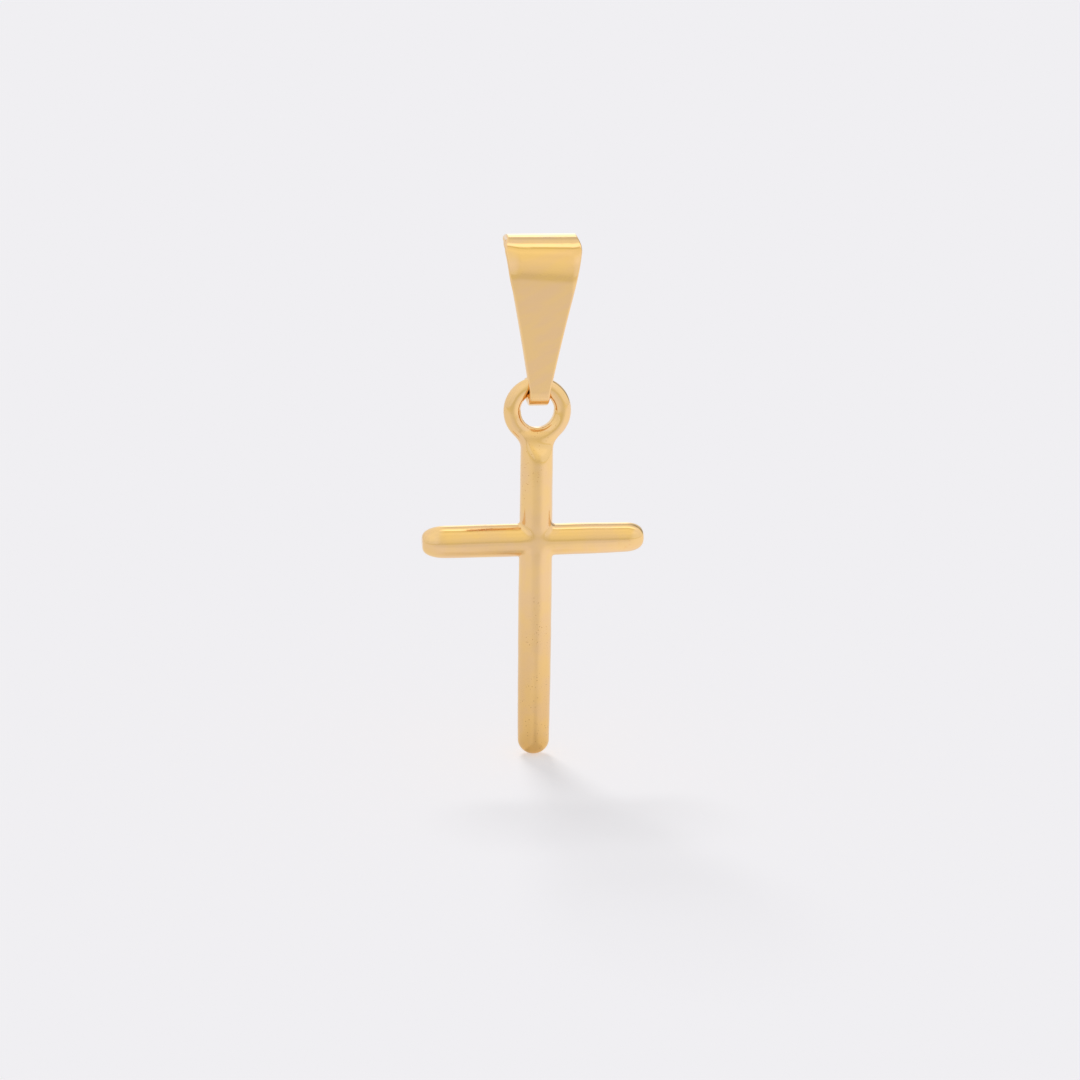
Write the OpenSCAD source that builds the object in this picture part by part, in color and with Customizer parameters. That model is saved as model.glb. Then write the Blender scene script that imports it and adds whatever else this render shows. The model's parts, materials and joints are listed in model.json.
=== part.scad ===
// Cross pendant: a plain cross of round bars hangs by its eye from a folded, tapering bail.
// Millimetres, +Z up, front facing -Y. The origin is the crown of the bail's fold, inside,
// where a chain bears when the pendant hangs on it.

/* [Bail] */
// Thickness of the folded strap
strap_t = 0.34; // [0.3:0.02:0.5]
// Outer radius of the fold at the top
fold_r = 2.2; // [1.8:0.05:2.6]
// Distance from the middle of the fold down to the middle of the foot
leaf_l = 6.55; // [5.5:0.05:9]
// Width of the strap over the fold
fold_w = 4.52; // [3.6:0.02:5.4]
// Width of the strap round the foot, where it goes through the eye
foot_w = 1.2; // [0.9:0.02:1.4]
// Height above the middle of the fold at which the strap starts to taper
taper_rise = 1.4; // [0.8:0.1:1.6]
// Depth below the middle of the foot at which the taper ends
taper_drop = 0.3; // [0:0.05:0.5]
// Slant of the strap's sides behind the crown, seen from above, which narrows the back leaf
back_slant = 13; // [0:0.5:16]
// Height above the middle of the foot at which the back leaf ends in a shoulder
shoulder_rise = 0.25; // [0.1:0.05:0.4]
// Radius of the strap's corners over the fold
corner_r = 0.2; // [0.1:0.02:0.3]
// Clearance between the inside of the foot and the wire of the eye
foot_clear = 0.12; // [0.08:0.01:0.16]

/* [Eye] */
// Radius from the middle of the eye to the middle of its wire
eye_r = 1.48; // [1.44:0.02:2]
// Diameter of the wire
wire_d = 1.02; // [0.8:0.02:1.1]

/* [Cross] */
// Diameter of the stem
stem_d = 1.92; // [1.6:0.02:2.4]
// Diameter of the arms
arm_d = 1.92; // [1.6:0.02:2.4]
// Whole length of the two arms, end to end
arms_l = 13; // [9:0.1:18]
// Height from the middle line of the arms up to the middle of the eye
stem_above = 7.62; // [6:0.02:10]
// Length from the middle line of the arms down to the tip of the stem
stem_below = 12.9; // [8:0.1:18]
// Radius of the rounded corner at each end of the arms
arm_corner_r = 0.68; // [0.3:0.02:0.76]
// Length of the two flats that thin the stem to the wire, below the eye
neck_l = 0.8; // [0.4:0.05:1.5]

/* [Hidden] */
$fn = 96;
// How far a cutting block reaches past what it cuts
eps = 0.5;
// How far inside its tangent line a leaf of the strap lies, so that it cuts both rounds cleanly
graze = 0.004;
// Least width of the flat at a bar's end, where its corner takes up the whole radius
hair = 0.001;

bail_gold = [0.90, 0.72, 0.42];
cross_gold = [0.88, 0.69, 0.40];

wire_r = wire_d / 2;
stem_r = stem_d / 2;
arm_r = arm_d / 2;

// Distance from the hinge line to the point of the wire at an angle round its section, taken
// where the strap's edge cuts it. The widest of these is what the foot has to clear.
function wire_reach(angle) =
    let (inner = eye_r - wire_r * cos(angle))
    let (drop = eye_r - sqrt(inner * inner - foot_w * foot_w / 4))
    norm([drop, wire_r * sin(angle)]);

foot_in_r = max([for (angle = [0:5:90]) wire_reach(angle)]) + foot_clear;
foot_r = foot_in_r + strap_t;

// Heights of the main levels above the origin
fold_z = strap_t - fold_r;
foot_z = fold_z - leaf_l;
eye_z = foot_z - eye_r;
arms_z = eye_z - stem_above;
tip_z = arms_z - stem_below;
neck_z = eye_z - eye_r;

// Lean of the two leaves, which close in from the wide fold to the narrow foot
leaf_lean = asin((fold_r - foot_r) / leaf_l);

// Narrowing for each millimetre down, and the reach of the sides that is left under the foot
taper = (fold_w - foot_w) / 2 / (taper_rise + leaf_l + taper_drop);
bottom_z = foot_z - foot_r - eps;
bottom_reach = foot_w / 2 - taper * (foot_z - taper_drop - bottom_z);

// Block with the side view of a closed loop: a wide round, a narrow round and the leaves between
module loop_block(top_r, bottom_r, width) {
    in_out = cos(leaf_lean);
    down = sin(leaf_lean);
    top_in = top_r - graze;
    bottom_in = bottom_r - graze;
    rotate([90, 0, 90]) {
        translate([0, fold_z]) cylinder(r = top_r, h = width, center = true);
        translate([0, foot_z]) cylinder(r = bottom_r, h = width, center = true);
        linear_extrude(width, center = true)
            polygon([
                [top_in * in_out, fold_z - top_in * down],
                [bottom_in * in_out, foot_z - bottom_in * down],
                [-bottom_in * in_out, foot_z - bottom_in * down],
                [-top_in * in_out, fold_z - top_in * down]
            ]);
    }
}

// Block whose right side, at a share of its reach, cuts the strap: even over the fold, then
// tapering. Its left side lies clear of the strap, and its top has the given points.
module side_cut(share, top) {
    side = [[fold_w / 2, fold_z + taper_rise], [bottom_reach, bottom_z]];
    clear = [[-fold_w, bottom_z], [-fold_w, top[0][1]]];
    rotate([90, 0, 0])
        linear_extrude(4 * fold_r, center = true)
            polygon([for (p = concat(top, side, clear)) [share * p[0], p[1]]]);
}

// Both cuts of the right side: straight back with a rounded corner, and slanted in from the crown
module right_side() {
    corner = [for (angle = [90:-15:0])
        [fold_w / 2 - corner_r * (1 - cos(angle)), strap_t - corner_r * (1 - sin(angle))]];
    intersection() {
        side_cut(1, corner);
        rotate([0, 0, back_slant]) side_cut(cos(back_slant), [[fold_w / 2, strap_t + eps]]);
    }
}

// Strap folded over at the top and closed at the foot into one loop. The back leaf is a narrower
// tongue, which ends in a small shoulder where it is soldered to the foot.
module bail() {
    color(bail_gold)
    intersection() {
        difference() {
            loop_block(fold_r, foot_r, fold_w + eps);
            loop_block(fold_r - strap_t, foot_in_r, fold_w + 2 * eps);
        }
        union() {
            intersection() {
                right_side();
                mirror([1, 0, 0]) right_side();
            }
            translate([-foot_w / 2, -fold_r, bottom_z])
                cube([foot_w, 2 * fold_r, foot_z + shoulder_rise - bottom_z]);
        }
    }
}

// Half section of a round bar that stands on the origin, its far end rounded by corner
module bar_half(radius, length, corner) {
    intersection() {
        union() {
            square([radius, length - corner]);
            square([radius - corner + hair, length]);
            translate([radius - corner, length - corner]) circle(corner);
        }
        square([radius, length]);
    }
}

// Round bar along +Z from the origin
module bar(radius, length, corner) {
    rotate_extrude() bar_half(radius, length, corner);
}

// Both arms in one bar, with the same rounded corner at each end
module arms() {
    for (side = [-90, 90])
        translate([0, 0, arms_z]) rotate([0, side, 0]) bar(arm_r, arms_l / 2, arm_corner_r);
}

// Stem with a domed tip, thinned by a flat at the front and back where it meets the eye
module stem() {
    neck_low = neck_z - wire_r - neck_l;
    lean_in = (stem_r - wire_r) / neck_l;
    thin = wire_r - lean_in * wire_r;
    wide = stem_r + eps;
    intersection() {
        translate([0, 0, neck_z]) rotate([180, 0, 0])
            bar(stem_r, neck_z - tip_z, stem_r);
        rotate([90, 0, 90]) linear_extrude(stem_d + 2 * eps, center = true)
            polygon([
                [-thin, neck_z], [thin, neck_z], [stem_r, neck_low], [wide, neck_low],
                [wide, tip_z - eps], [-wide, tip_z - eps], [-wide, neck_low], [-stem_r, neck_low]
            ]);
    }
}

// Ring that the foot of the bail goes through, soldered on top of the stem
module eye() {
    translate([0, 0, eye_z]) rotate([90, 0, 0])
        rotate_extrude() translate([eye_r, 0]) circle(wire_r);
}

// Stem, arms and eye are one piece of metal
module cross() {
    color(cross_gold)
    union() {
        stem();
        arms();
        eye();
    }
}

bail();
cross();
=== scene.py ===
"""Looks of a cross pendant on its folded bail: finishes, light and camera. Metres, +Z up, front at -Y."""

import json
import logging
import math
from collections.abc import Callable, Sequence
from dataclasses import dataclass
from enum import Enum

import bmesh
import bpy
import numpy as np
from mathutils import Matrix, Vector


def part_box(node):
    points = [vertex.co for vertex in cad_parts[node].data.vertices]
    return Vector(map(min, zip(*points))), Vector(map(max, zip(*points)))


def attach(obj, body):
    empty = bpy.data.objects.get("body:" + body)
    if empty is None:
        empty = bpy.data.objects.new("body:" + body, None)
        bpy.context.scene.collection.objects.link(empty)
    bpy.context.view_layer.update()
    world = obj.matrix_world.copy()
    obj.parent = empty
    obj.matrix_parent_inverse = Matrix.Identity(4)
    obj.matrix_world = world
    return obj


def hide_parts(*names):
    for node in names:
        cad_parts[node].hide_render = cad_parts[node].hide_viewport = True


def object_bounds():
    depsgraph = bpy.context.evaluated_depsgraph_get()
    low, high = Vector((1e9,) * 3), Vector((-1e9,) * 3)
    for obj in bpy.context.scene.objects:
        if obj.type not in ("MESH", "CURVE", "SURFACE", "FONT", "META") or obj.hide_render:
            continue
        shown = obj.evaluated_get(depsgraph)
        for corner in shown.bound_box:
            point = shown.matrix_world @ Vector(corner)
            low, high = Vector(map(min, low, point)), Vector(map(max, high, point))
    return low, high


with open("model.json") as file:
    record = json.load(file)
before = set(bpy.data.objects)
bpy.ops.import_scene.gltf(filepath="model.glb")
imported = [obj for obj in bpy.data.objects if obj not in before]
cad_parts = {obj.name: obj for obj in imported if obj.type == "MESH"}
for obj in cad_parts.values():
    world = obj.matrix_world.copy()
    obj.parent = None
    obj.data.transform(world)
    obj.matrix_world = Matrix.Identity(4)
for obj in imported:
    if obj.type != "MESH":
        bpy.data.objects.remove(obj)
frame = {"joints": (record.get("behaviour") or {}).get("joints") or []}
cad_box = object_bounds()

log = logging.getLogger("cross_pendant")

MM = 0.001
UP = Vector((0.0, 0.0, 1.0))

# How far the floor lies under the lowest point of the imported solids
FLOOR_GAP = 0.02 * MM

Field = Callable[[np.ndarray], np.ndarray]
Colour = tuple[float, float, float]

# What fully warm light lacks of red, green and blue
WARM_LOSS: Colour = (0.0, 0.10, 0.60)


class Polish(Enum):
    """How a piece was finished after plating."""

    BRUSHED = "brushed across and buffed"
    TUMBLED = "tumbled in shot"


class TreeKind(Enum):
    """What a node group works on."""

    SHADER = "ShaderNodeTree"
    GEOMETRY = "GeometryNodeTree"


class Value:
    """A socket of a graph. Arithmetic on it adds Math nodes, so that a tree reads like what it works out."""

    def __init__(self, graph: "Graph", socket: bpy.types.NodeSocket) -> None:
        """Keeps the socket, and the graph that its nodes go to."""
        self.graph = graph
        self.socket = socket

    def __add__(self, other: "Term") -> "Value":
        """This plus other."""
        return self.graph.math("ADD", self, other)

    def __sub__(self, other: "Term") -> "Value":
        """This less other."""
        return self.graph.math("SUBTRACT", self, other)

    def __rsub__(self, other: float) -> "Value":
        """A number less this."""
        return self.graph.math("SUBTRACT", other, self)

    def __mul__(self, other: "Term") -> "Value":
        """This times other."""
        return self.graph.math("MULTIPLY", self, other)

    def __truediv__(self, other: "Term") -> "Value":
        """This divided by other."""
        return self.graph.math("DIVIDE", self, other)

    def span(self, start: "Term", end: "Term", low: "Term", high: "Term", smooth: bool = False) -> "Value":
        """Runs from low to high as this goes from start to end, and stays there outside.

        Args:
            start: where low ends.
            end: where high begins.
            low: the result before start.
            high: the result after end.
            smooth: eases in and out.

        Returns:
            The result.
        """
        kind = "SMOOTHSTEP" if smooth else "LINEAR"
        inputs = (self, start, end, low, high)
        return self.graph.value("ShaderNodeMapRange", inputs, interpolation_type=kind, clamp=True)


Term = Value | float
Inputs = dict[str, object] | Sequence[object]


class Graph:
    """Short calls that add, set and link the nodes of one tree."""

    def __init__(self, tree: bpy.types.NodeTree) -> None:
        """Keeps the tree that every call adds to."""
        self.tree = tree

    def node(self, kind: str, inputs: Inputs = (), **settings: object) -> bpy.types.Node:
        """Adds a node.

        Args:
            kind: its type name.
            inputs: what its inputs get, by name or in order: a Value or socket is linked, the rest is set.
            **settings: properties of the node itself, set before its inputs.

        Returns:
            The new node.
        """
        made = self.tree.nodes.new(kind)
        for name, setting in settings.items():
            setattr(made, name, setting)
        pairs = inputs.items() if isinstance(inputs, dict) else enumerate(inputs)
        for key, given in pairs:
            self.feed(made.inputs[key], given)
        return made

    def feed(self, target: bpy.types.NodeSocket, given: object) -> None:
        """Links a Value or socket into target, or sets target's own value.

        Args:
            target: the input socket.
            given: a Value, an output socket, a number or a tuple.
        """
        given = given.socket if isinstance(given, Value) else given
        if isinstance(given, bpy.types.NodeSocket):
            self.tree.links.new(given, target)
        else:
            target.default_value = given

    def value(self, kind: str, inputs: Inputs = (), output: str | int = 0, **settings: object) -> Value:
        """Adds a node as node() does, and gives one of its outputs."""
        return Value(self, self.node(kind, inputs, **settings).outputs[output])

    def math(self, operation: str, *values: Term) -> Value:
        """One Math node, its inputs in order."""
        return self.value("ShaderNodeMath", values, operation=operation)

    def split(self, vector: Value) -> list[Value]:
        """The X, Y and Z of a vector."""
        return [Value(self, socket) for socket in self.node("ShaderNodeSeparateXYZ", [vector]).outputs]

    def join(self, x: Term, y: Term, z: Term) -> Value:
        """A vector from its X, Y and Z."""
        return self.value("ShaderNodeCombineXYZ", (x, y, z))

    def dot(self, vector: Value, direction: Vector) -> Value:
        """How far a vector reaches in a direction."""
        return self.value("ShaderNodeVectorMath", (vector, direction), "Value", operation="DOT_PRODUCT")

    def drawn_out(self, place: Value, stretch: Term, slant: Term) -> Value:
        """Coordinates in which a pattern is drawn out along X and slanted.

        Args:
            place: the plain coordinates.
            stretch: how many times longer the pattern is along X.
            slant: its fall along Z for each metre along X.

        Returns:
            The new coordinates.
        """
        x, y, z = self.split(place)
        return self.join(x / stretch, y, x * slant + z)

    def noise(self, place: Value, scale: Term, detail: float) -> Value:
        """A noise value round 0.5 at a place, at a scale in features to the metre."""
        return self.value("ShaderNodeTexNoise", {"Vector": place, "Scale": scale, "Detail": detail})

    def mix(self, factor: Term, first: object, second: object, blend: str = "MIX") -> Value:
        """The first colour, turned into the second or blended with it as the factor rises."""
        inputs = {"Factor": factor, "A": first, "B": second}
        return self.value("ShaderNodeMix", inputs, "Result", data_type="RGBA", blend_type=blend)

    def use(self, group: bpy.types.NodeTree, inputs: dict[str, object]) -> dict[str, Value]:
        """Places a node group with its inputs by name, and gives its outputs by name."""
        made = self.node("ShaderNodeGroup", inputs, node_tree=group)
        return {socket.name: Value(self, socket) for socket in made.outputs}


class Group(Graph):
    """A node group with named inputs and outputs."""

    def __init__(self, name: str, kind: TreeKind, inputs: dict[str, str], outputs: dict[str, str]) -> None:
        """Starts the group.

        Args:
            name: its name.
            kind: what it works on.
            inputs: names to kinds of socket, such as Float, Vector, Color, Geometry or Material.
            outputs: the same for what it puts out.
        """
        super().__init__(bpy.data.node_groups.new(name, kind.value))
        self.identifiers = {label: self._add_socket(label, "INPUT", sort) for label, sort in inputs.items()}
        for label, sort in outputs.items():
            self._add_socket(label, "OUTPUT", sort)
        sockets = self.node("NodeGroupInput").outputs
        self.given = {label: Value(self, sockets[label]) for label in inputs}
        self.result = self.node("NodeGroupOutput").inputs

    def _add_socket(self, label: str, side: str, sort: str) -> str:
        """Adds a socket to the group's interface and gives its identifier."""
        return self.tree.interface.new_socket(label, in_out=side, socket_type="NodeSocket" + sort).identifier

    def put_out(self, **results: Value) -> bpy.types.NodeTree:
        """Links the results to the outputs of the same names.

        Args:
            **results: the results by name.

        Returns:
            The finished tree.
        """
        for label, result in results.items():
            self.feed(self.result[label], result)
        return self.tree


def floats(*labels: str) -> dict[str, str]:
    """Number sockets of these names, as a group's inputs or outputs."""
    return dict.fromkeys(labels, "Float")


def empty_graph(owner: bpy.types.Material | bpy.types.World) -> Graph:
    """Empties the node tree of a material or world.

    Args:
        owner: the material or world.

    Returns:
        The graph of its tree.
    """
    owner.use_nodes = True
    owner.node_tree.nodes.clear()
    return Graph(owner.node_tree)


def opaque(colour: Colour, share: float = 1.0) -> tuple[float, float, float, float]:
    """A share of a colour, as a colour socket takes it."""
    return (*(share * part for part in colour), 1.0)


@dataclass
class SharedEffects:
    """Surface effects that both finishes use, each built once as a shader node group.

    The scale of a finer pattern, or of the patches that a pattern comes in, is a share of the group's scale.
    """

    fine_scale: float = 4.3
    speck_core: float = 0.35
    speck_patch_scale: float = 0.11
    speck_patch_fade: float = 0.12
    line_patch_scale: float = 0.12
    line_patch: tuple[float, float] = (0.42, 0.62)
    line_least: float = 0.15
    drift: tuple[float, float] = (0.35, 0.65)
    speck_tint: Colour = (0.68, 0.55, 0.42)
    # Tint that darkens and browns the plating towards the bottom
    low_tint: Colour = (0.87, 0.83, 0.73)

    def __post_init__(self) -> None:
        """Builds every group."""
        self.waves = self._waves()
        self.specks = self._specks()
        self.lines = self._lines()
        self.tone = self._tone()

    def _waves(self) -> bpy.types.NodeTree:
        """Slow rise and fall that casting, bending and buffing leave under a polish.

        Returns:
            The group, which puts out the height.
        """
        inputs = {"Place": "Vector", **floats("Scale", "Fine Share")}
        group = Group("Polish Waves", TreeKind.SHADER, inputs, floats("Height"))
        place, scale, fine_share = group.given.values()
        fine = group.noise(place, scale * self.fine_scale, 2.0)
        return group.put_out(Height=group.noise(place, scale, 1.0) + fine * fine_share)

    def _specks(self) -> bpy.types.NodeTree:
        """Sparse pinholes in the cast metal, gathered in some patches and missing in others.

        Returns:
            The group, which puts out a mask.
        """
        inputs = {"Place": "Vector", **floats("Scale", "Size", "Share")}
        group = Group("Pinholes", TreeKind.SHADER, inputs, floats("Mask"))
        place, scale, size, share = group.given.values()
        cells = {"Vector": place, "Scale": scale}
        off_centre = group.value("ShaderNodeTexVoronoi", cells, "Distance", feature="F1")
        hole = off_centre.span(size * self.speck_core, size, 1.0, 0.0, smooth=True)
        start = 1.0 - share
        patch = group.noise(place, scale * self.speck_patch_scale, 1.0)
        patch = patch.span(start, start + self.speck_patch_fade, 0.0, 1.0, smooth=True)
        return group.put_out(Mask=hole * patch)

    def _lines(self) -> bpy.types.NodeTree:
        """Fine brush lines along X, a little slanted, clear in some patches and faint in others.

        Returns:
            The group, which puts out the height and a mask of the patches.
        """
        inputs = {"Place": "Vector", **floats("Scale", "Stretch", "Slant")}
        group = Group("Brush Lines", TreeKind.SHADER, inputs, floats("Height", "Mask"))
        place, scale, stretch, slant = group.given.values()
        lines = group.noise(group.drawn_out(place, stretch, slant), scale, 3.0)
        patch = group.noise(place, scale * self.line_patch_scale, 1.0)
        patch = patch.span(*self.line_patch, self.line_least, 1.0, smooth=True)
        return group.put_out(Height=(lines - 0.5) * patch, Mask=patch)

    def _tone(self) -> bpy.types.NodeTree:
        """The plating's colour: it drifts between two tones, darkens in pinholes and is darker and browner
        low down.

        Returns:
            The group, which puts out the colour and the share of the rubbed tone.
        """
        numbers = floats("Scale", "Stretch", "Slant", "Speck", "Worn Top", "Worn Low")
        inputs = {"Place": "Vector", **numbers, "Fresh": "Color", "Rubbed": "Color"}
        group = Group("Plating Tone", TreeKind.SHADER, inputs, {"Color": "Color", "Haze": "Float"})
        place, scale, stretch, slant, speck, tint_top, tint_low, fresh, rubbed = group.given.values()
        drift = group.noise(group.drawn_out(place, stretch, slant), scale, 3.0)
        share = drift.span(*self.drift, 0.0, 1.0, smooth=True)
        colour = group.mix(share, fresh, rubbed)
        colour = group.mix(speck, colour, opaque(self.speck_tint), "MULTIPLY")
        # Darker and browner towards the bottom: none above Tint Top, the full tint below Tint Low
        end_loss = group.split(place)[2].span(tint_low, tint_top, 1.0, 0.0)
        colour = group.mix(end_loss, colour, opaque(self.low_tint), "MULTIPLY")
        return group.put_out(Color=colour, Haze=share)


@dataclass(frozen=True)
class GoldFinish:
    """One plated surface. Lengths are in metres and scales in features to the metre.

    The tone is darkened and browned from none at the height tint_top to the full tint at tint_low, further
    down.
    """

    name: str
    polish: Polish
    fresh: Colour
    rubbed: Colour
    tone_scale: float
    tone_stretch: float
    tone_slant: float
    tint_top: float
    tint_low: float
    rough_low: float
    rough_high: float
    wave_scale: float
    wave_height: float
    speck_scale: float
    speck_size: float
    speck_share: float
    speck_depth: float
    line_scale: float
    line_stretch: float
    line_slant: float
    line_height: float
    fine_share: float = 0.12

    def build(self, effects: SharedEffects) -> bpy.types.Material:
        """Makes the material.

        Args:
            effects: the shared node groups.

        Returns:
            The material.
        """
        made = bpy.data.materials.new(self.name)
        graph = empty_graph(made)
        place = graph.value("ShaderNodeTexCoord", output="Object")
        waves = graph.use(effects.waves, {
            "Place": place, "Scale": self.wave_scale, "Fine Share": self.fine_share,
        })
        specks = graph.use(effects.specks, {
            "Place": place, "Scale": self.speck_scale, "Size": self.speck_size, "Share": self.speck_share,
        })
        lines = graph.use(effects.lines, {
            "Place": place, "Scale": self.line_scale, "Stretch": self.line_stretch, "Slant": self.line_slant,
        })
        tone = graph.use(effects.tone, {
            "Place": place, "Scale": self.tone_scale, "Stretch": self.tone_stretch, "Slant": self.tone_slant,
            "Speck": specks["Mask"], "Worn Top": self.tint_top, "Worn Low": self.tint_low,
            "Fresh": opaque(self.fresh), "Rubbed": opaque(self.rubbed),
        })
        haze = lines["Mask"] if self.polish is Polish.BRUSHED else tone["Haze"]
        # Each bump lies on the normal of the one before
        relief = {}
        for height, depth in (
            (waves["Height"], self.wave_height),
            (lines["Height"], self.line_height),
            (specks["Mask"] * -1.0, self.speck_depth),
        ):
            bump = {"Distance": depth, "Height": height, **relief}
            relief = {"Normal": graph.value("ShaderNodeBump", bump)}
        rough = haze.span(0.0, 1.0, self.rough_low, self.rough_high)
        shading = {"Metallic": 1.0, "Base Color": tone["Color"], "Roughness": rough, **relief}
        shader = graph.value("ShaderNodeBsdfPrincipled", shading)
        graph.node("ShaderNodeOutputMaterial", {"Surface": shader})
        return made


def link_object(name: str, mesh: bpy.types.Mesh) -> bpy.types.Object:
    """Links a new object, at the origin of the scene.

    Args:
        name: its name.
        mesh: its mesh.

    Returns:
        The object.
    """
    made = bpy.data.objects.new(name, mesh)
    bpy.context.scene.collection.objects.link(made)
    return made


def turn_outwards(mesh: bpy.types.Mesh) -> None:
    """Makes every face of a closed mesh point outwards.

    Args:
        mesh: the mesh, which is changed.
    """
    work = bmesh.new()
    work.from_mesh(mesh)
    bmesh.ops.recalc_face_normals(work, faces=work.faces)
    if work.calc_volume(signed=True) < 0.0:
        bmesh.ops.reverse_faces(work, faces=work.faces)
    work.to_mesh(mesh)
    work.free()


@dataclass
class Bail:
    """The folded strap: two leaves between a wide fold and a narrow foot, in one closed loop.

    Names with left are for the side at -X. A length that ends in start, from, at, to, top, full or end is a
    height above the origin. The shares and counts lay out the grid that is bent into the strap.
    """

    hinge_z: float
    width_foot: float = 1.20 * MM
    taper_rise: float = 1.40 * MM
    taper_drop: float = 0.30 * MM
    back_slant_deg: float = 13.0
    slant_blend: float = 0.40 * MM
    shoulder_rise: float = 0.25 * MM
    shoulder_blend: float = 0.12 * MM
    waist: float = 0.06 * MM
    corner: float = 0.17 * MM
    corner_start: float = -0.30 * MM
    corner_left_gain: float = 0.30
    edge_blend: float = 0.08 * MM
    left_in: float = 0.08 * MM
    left_out: float = -0.05 * MM
    left_in_from: float = -0.30 * MM
    left_out_at: float = -2.10 * MM
    left_out_to: float = -3.40 * MM
    foot_corner: float = 0.06 * MM
    foot_corner_height: float = 0.30 * MM
    edge_round: float = 0.10 * MM
    cone: float = 0.040
    ease_length: float = 0.50 * MM
    ease_push: float = 0.020 * MM
    facet_drop: float = 0.095 * MM
    facet_width: float = 0.60 * MM
    facet_left_gain: float = 0.2
    facet_least: float = 0.05
    facet_power: float = 1.35
    facet_top: float = 0.10 * MM
    facet_full: float = -1.00 * MM
    facet_end: float = -2.90 * MM
    along: int = 360
    across: int = 128
    fold_share: float = 0.40
    leaf_share: float = 0.20
    face_share: float = 0.40
    seam_gap: float = 0.001 * MM

    def __post_init__(self) -> None:
        """Works the strap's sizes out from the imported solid, and starts its node tree with them."""
        low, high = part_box("bail")
        thickness = high.z
        fold_radius = (high.y - low.y) / 2
        foot_radius = self.hinge_z - low.z
        fold_z = high.z - fold_radius
        lean = math.asin((fold_radius - foot_radius) / (fold_z - self.hinge_z))
        leaf_top = fold_z - fold_radius * math.sin(lean)
        self.sizes = {
            "Fold Radius": fold_radius - thickness / 2,
            "Foot Radius": foot_radius - thickness / 2,
            "Fold Height": fold_z,
            "Foot Height": self.hinge_z,
            "Lean": lean,
            "Thickness": thickness,
            "Fold Reach": (high.x - low.x) / 2,
            "Foot Reach": self.width_foot / 2,
            "Taper Start": fold_z + self.taper_rise,
            "Taper End": self.hinge_z - self.taper_drop,
            "Back Slant": math.tan(math.radians(self.back_slant_deg)),
            "Shoulder Height": self.hinge_z + self.shoulder_rise,
            "Foot Bottom": self.hinge_z - foot_radius,
            "Foot Side": self.hinge_z - foot_radius + self.foot_corner_height,
            "Left In Front": -0.5 * fold_radius,
            "Ease Start": leaf_top - self.ease_length,
            "Ease End": leaf_top + self.ease_length,
        }
        for name in (
            "slant_blend", "shoulder_blend", "waist", "corner", "corner_start", "edge_blend", "left_in",
            "left_out", "left_in_from", "left_out_at", "left_out_to", "foot_corner", "edge_round", "cone",
            "ease_push", "facet_drop", "facet_width", "facet_top", "facet_full", "facet_end",
        ):
            self.sizes[name.replace("_", " ").title()] = getattr(self, name)
        inputs = {**floats(*self.sizes), "Finish": "Material"}
        self.group = Group("Folded Strap", TreeKind.GEOMETRY, inputs, {"Geometry": "Geometry"})

    def _fill_tree(self) -> None:
        """Fills the tree: a flat grid is bent into the strap, closed, made smooth and given its finish."""
        group = self.group
        inputs = {"Size X": 1.0, "Size Y": 1.0, "Vertices X": self.along + 1, "Vertices Y": self.across + 1}
        strap = group.value("GeometryNodeMeshGrid", inputs, "Mesh")
        x, y, _ = group.split(group.value("GeometryNodeInputPosition"))
        place = self._section(y + 0.5, *self._loop(x + 0.5))
        strap = group.value("GeometryNodeSetPosition", {"Geometry": strap, "Position": place})
        strap = group.value("GeometryNodeMergeByDistance", {"Geometry": strap, "Distance": self.seam_gap})
        for kind in ("GeometryNodeSetShadeSmooth", "GeometryNodeRealizeInstances"):
            strap = group.value(kind, [strap])
        dressed = {"Geometry": strap, "Material": group.given["Finish"]}
        group.put_out(Geometry=group.value("GeometryNodeSetMaterial", dressed))

    def _loop(self, along: Value) -> tuple[Value, Value, Value]:
        """The strap's run seen from the side: over the fold, down the front, round the foot, up the back.

        Args:
            along: the share of the run, 0 to 1.

        Returns:
            The outward angle from +Y, the height of the round's centre and the round's radius.
        """
        given = self.group.given
        front_start = self.fold_share
        front_end = front_start + self.leaf_share
        back_start = 1.0 - self.leaf_share
        lean = given["Lean"]
        angle = along.span(0.0, front_start, 0.0, lean * 2.0 + math.pi) - lean
        angle = angle + along.span(front_end, back_start, 0.0, lean * -2.0 + math.pi)
        down = along.span(front_start, front_end, 0.0, 1.0) - along.span(back_start, 1.0, 0.0, 1.0)
        height = down.span(0.0, 1.0, given["Fold Height"], given["Foot Height"])
        radius = down.span(0.0, 1.0, given["Fold Radius"], given["Foot Radius"])
        return angle, height, radius

    def _section(self, across: Value, angle: Value, height: Value, radius: Value) -> Value:
        """The strap's section: an outer and an inner face between two rounded edges.

        Args:
            across: the share of the way round the section, 0 to 1.
            angle: the outward angle at this point of the run.
            height: the height of the round's centre there.
            radius: the radius of the round there.

        Returns:
            The position.
        """
        group, given = self.group, self.group.given
        face = self.face_share
        half = 0.5
        on_face = across.span(0.0, face, -1.0, 1.0) + across.span(half, half + face, 0.0, -2.0)
        right_edge = across.span(face, half, 0.0, math.pi)
        left_edge = across.span(half + face, 1.0, 0.0, math.pi)
        turn = math.pi / 2 - right_edge - left_edge
        out_dir, up_dir = group.math("COSINE", angle), group.math("SINE", angle)

        bend = height.span(given["Foot Height"], given["Fold Height"], 0.0, 1.0)
        grown = given["Cone"] * on_face * bend * radius
        radius = radius + grown
        height = height - grown
        middle_z = up_dir * radius + height
        reach = self._half_width(on_face, out_dir * radius, middle_z) - given["Edge Round"]
        relief = self._relief(on_face, reach, middle_z, bend)
        out = radius + (group.math("SINE", turn) * (given["Thickness"] * 0.5) + relief)
        x = on_face * reach + group.math("COSINE", turn) * given["Edge Round"]
        return group.join(x, out_dir * out, up_dir * out + height)

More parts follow.
